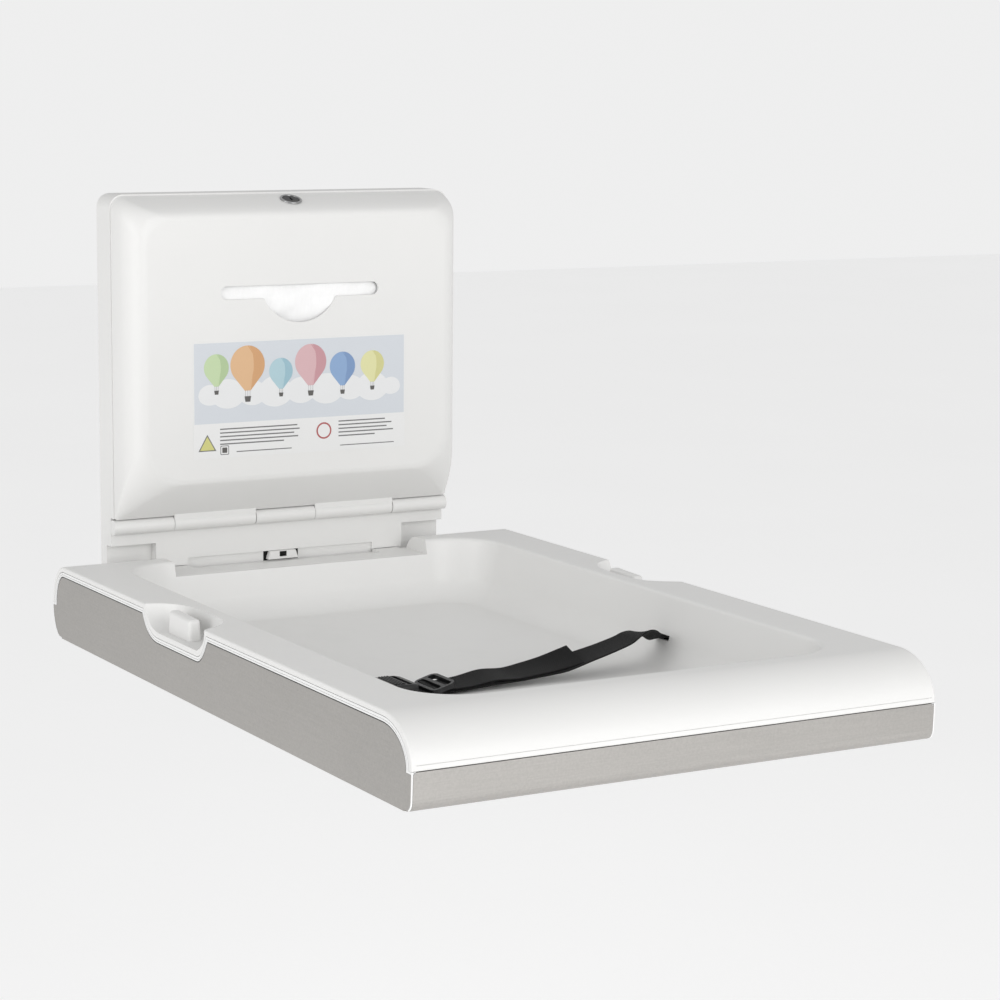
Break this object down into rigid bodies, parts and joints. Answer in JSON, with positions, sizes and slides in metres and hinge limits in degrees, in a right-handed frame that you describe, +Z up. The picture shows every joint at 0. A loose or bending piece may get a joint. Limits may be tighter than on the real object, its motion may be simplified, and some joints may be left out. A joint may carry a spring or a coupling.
{
  "type": "changing table",
  "caption": "Wall-mounted vertical baby changing station: steel-clad moulded bed that folds up over a hinged liner dispenser, with safety strap, bag hooks and key lock.",
  "frame": {"origin": "centre of the wall face, at the height of the open bed's rim", "axes": "+Z up, +Y into the wall, -Y out into the room along the open bed, +X to the right seen from the room"},
  "size_m": [0.56, 0.88, 0.496],
  "materials": {
    "white_plastic": "satin moulded polyethylene, very fine grain",
    "trim_plastic": "satin",
    "nylon": "natural nylon",
    "black_plastic": "moulded, fine grain",
    "webbing": "woven polypropylene webbing",
    "brushed_steel": "brushed satin stainless",
    "bright_steel": "polished or zinc plated",
    "paper": "crepe paper",
    "label_film": "printed satin film"
  },
  "bodies": {
    "wall_unit": {"back_plate": "white_plastic", "wall_screw_1": "bright_steel", "wall_screw_2": "bright_steel", "wall_screw_3": "bright_steel", "wall_screw_4": "bright_steel", "latch_tab": "white_plastic", "cover_pin": "bright_steel", "lock_keeper": "bright_steel", "liner_shelf": "bright_steel", "liner_stack": "paper", "hinge_bracket_right": "bright_steel", "hinge_bracket_left": "bright_steel", "bracket_screw_1": "bright_steel", "bracket_screw_2": "bright_steel", "bracket_screw_3": "bright_steel", "bracket_screw_4": "bright_steel", "hinge_rod": "bright_steel", "rod_clip_right": "nylon", "rod_clip_left": "nylon"},
    "cover": {"dispenser_cover": "white_plastic", "information_label": "label_film", "lock_housing": "bright_steel"},
    "lock": {"lock_barrel": "bright_steel", "lock_cam": "bright_steel"},
    "bed": {"tray": "white_plastic", "edge_trim_right": "trim_plastic", "edge_trim_left": "trim_plastic", "side_plate_right": "brushed_steel", "side_plate_left": "brushed_steel", "cladding_pan": "brushed_steel", "bag_hook_right": "white_plastic", "bag_hook_left": "white_plastic", "bearing_block_right": "nylon", "bearing_block_left": "nylon", "hinge_bush_right": "nylon", "hinge_bush_left": "nylon", "stop_pin_right": "bright_steel", "stop_pin_left": "bright_steel", "damper_right": "black_plastic", "damper_left": "black_plastic", "anchor_bar_right": "bright_steel", "anchor_bar_left": "bright_steel", "strap_right": "webbing", "strap_left": "webbing", "buckle_female": "black_plastic"},
    "buckle_male": {"buckle_male": "black_plastic"},
    "adjuster": {"strap_adjuster": "black_plastic"}
  },
  "joints": [
    {"name": "bed_fold", "type": "hinge", "parent": "wall_unit", "child": "bed", "pos_m": [0, -0.063, -0.044], "axis": [-1, 0, 0], "range_deg": [0, 90]},
    {"name": "cover_open", "type": "hinge", "parent": "wall_unit", "child": "cover", "pos_m": [0, -0.035, 0.034], "axis": [-1, 0, 0], "range_deg": [-72, 0]},
    {"name": "lock_turn", "type": "hinge", "parent": "cover", "child": "lock", "pos_m": [0, -0.058, 0.396], "axis": [0, -0.342, 0.9397], "range_deg": [0, 90]},
    {"name": "buckle_release", "type": "slide", "parent": "bed", "child": "buckle_male", "axis": [1, 0, 0], "range_m": [0, 0.022]},
    {"name": "adjuster_slide", "type": "slide", "parent": "buckle_male", "child": "adjuster", "axis": [1, 0, 0], "range_m": [0, 0.03]}
  ]
}
